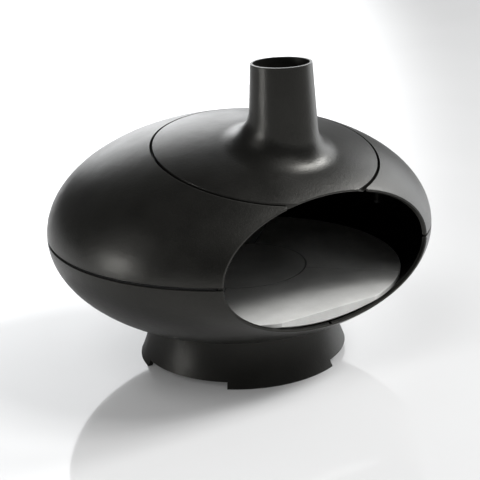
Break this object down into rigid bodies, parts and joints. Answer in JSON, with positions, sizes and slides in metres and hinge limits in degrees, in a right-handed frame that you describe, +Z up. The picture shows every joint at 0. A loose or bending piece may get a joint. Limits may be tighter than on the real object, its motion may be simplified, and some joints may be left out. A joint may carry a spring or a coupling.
{
  "type": "wood burning stove",
  "caption": "Cast iron wood burning stove: a flattened ball with a wide mouth, a stone floor, a lid with a chimney and a flared foot ring.",
  "frame": {"origin": "on the floor, under the middle of the stove's bounding box", "axes": "+Z up; the mouth faces -Y; +X is to the right seen from the front"},
  "size_m": [0.7459, 0.6719, 0.6],
  "materials": {
    "foot": "matte black heat-proof paint over sand-cast iron",
    "bowl": "matte black heat-proof paint over sand-cast iron",
    "shell": "matte black heat-proof paint over sand-cast iron",
    "lid": "matte black heat-proof paint over sand-cast iron",
    "rope": "dark graphite-coated glass fibre rope",
    "plate": "mill-finish steel sheet",
    "board": "pressed vermiculite",
    "stone": "pale warm-grey cast refractory stone, smooth and slightly chalky",
    "fastener": "zinc-plated steel"
  },
  "bodies": {
    "stove": {"foot_ring": "foot", "lower_bowl": "bowl", "upper_shell": "shell", "seam_seal": "rope", "lid_seal": "rope", "floor_plate": "plate", "insulation_board": "board", "centre_stone": "stone", "front_stone": "stone", "right_stone": "stone", "back_stone": "stone", "left_stone": "stone", "tie_bolts": "fastener", "tie_nuts": "fastener", "tie_washers": "fastener", "foot_bolts": "fastener", "foot_nuts": "fastener", "foot_washers": "fastener"},
    "lid": {"chimney_lid": "lid"}
  },
  "joints": [
    {"name": "lid_lift", "type": "slide", "parent": "stove", "child": "lid", "axis": [0, 0, 1], "range_m": [0, 0.15]}
  ]
}
